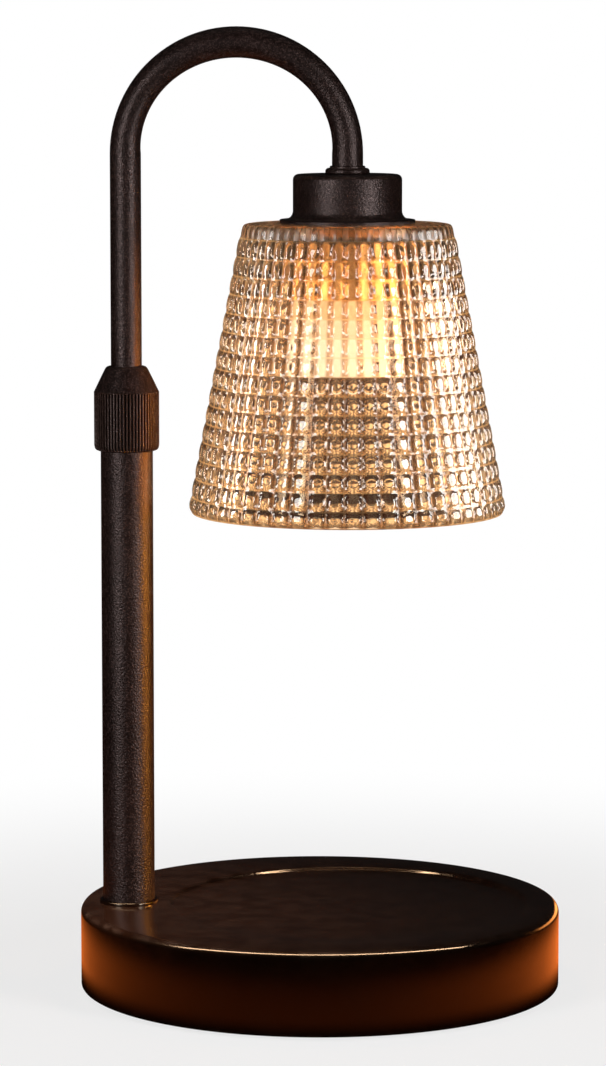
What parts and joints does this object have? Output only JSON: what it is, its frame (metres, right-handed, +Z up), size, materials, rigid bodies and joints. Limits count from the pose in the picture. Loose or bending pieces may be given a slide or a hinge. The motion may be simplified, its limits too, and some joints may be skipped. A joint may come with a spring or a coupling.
{
  "type": "candle warmer lamp",
  "caption": "Table lamp that warms a candle from above: weighted round base, post, sliding swan neck, cone glass shade and twist-lock bulb.",
  "frame": {"origin": "on the table, under the centre of the round base", "axes": "+Z up; the post stands at -X and the shade hangs over the seat at +X; +Y is the back, where the cord goes in"},
  "size_m": [0.15, 0.15, 0.2998],
  "materials": {
    "powder_coat": "fine textured powder coat, nearly black brown",
    "base_coat": "smooth satin coat, very dark brown",
    "clear_glass": "clear pressed glass",
    "bulb_glass": "frosted glass",
    "ring_brass": "satin",
    "steel": "zinc plated",
    "cast_iron": "as cast",
    "rubber": "matt",
    "silicone": "soft",
    "nylon": "natural nylon",
    "pvc": "lead jacket",
    "ceramic": "glazed white",
    "contact_brass": "bright"
  },
  "bodies": {
    "stand": {"base_housing": "base_coat", "bottom_cover": "powder_coat", "cover_screws": "steel", "rubber_feet": "rubber", "counterweight": "cast_iron", "cord_gland": "rubber", "terminal_block": "nylon", "base_lead": "pvc", "post_tube": "powder_coat", "foot_ring": "powder_coat", "post_plug": "steel", "post_stud": "steel", "post_washer": "steel", "post_nut": "steel", "post_lead": "pvc", "clamp_collet": "nylon", "pressure_ring": "steel"},
    "collar": {"lock_collar": "powder_coat"},
    "slider": {"guide_bush": "nylon"},
    "neck": {"guide_clips": "steel", "neck_tube": "powder_coat", "neck_lead": "pvc", "neck_ring": "powder_coat", "neck_nipple": "steel", "cap_nut": "steel", "holder_cap": "powder_coat", "socket_plate": "steel", "socket_screws": "steel", "lamp_socket": "ceramic", "socket_contacts": "contact_brass", "holder_sleeve": "ring_brass", "shade_gaskets": "silicone", "shade_ring": "ring_brass", "glass_shade": "clear_glass"},
    "bulb": {"bulb_base": "ceramic", "bulb_pins": "contact_brass", "bulb_reflector": "bulb_glass", "bulb_lens": "bulb_glass", "bulb_capsule": "bulb_glass"}
  },
  "joints": [
    {"name": "collar_turn", "type": "hinge", "parent": "stand", "child": "collar", "pos_m": [-0.06, 0, 0.17], "axis": [0, 0, 1], "range_deg": [0, 180]},
    {"name": "neck_slide", "type": "slide", "parent": "stand", "child": "slider", "axis": [0, 0, 1], "range_m": [-0.06, 0.05]},
    {"name": "neck_swing", "type": "hinge", "parent": "slider", "child": "neck", "pos_m": [-0.06, 0, 0.2], "axis": [0, 0, 1], "range_deg": [-180, 180], "deforming": ["post_lead"]},
    {"name": "bulb_twist", "type": "hinge", "parent": "neck", "child": "bulb", "pos_m": [0.0084, 0, 0.2395], "axis": [0, 0, 1], "range_deg": [-20, 0]}
  ]
}
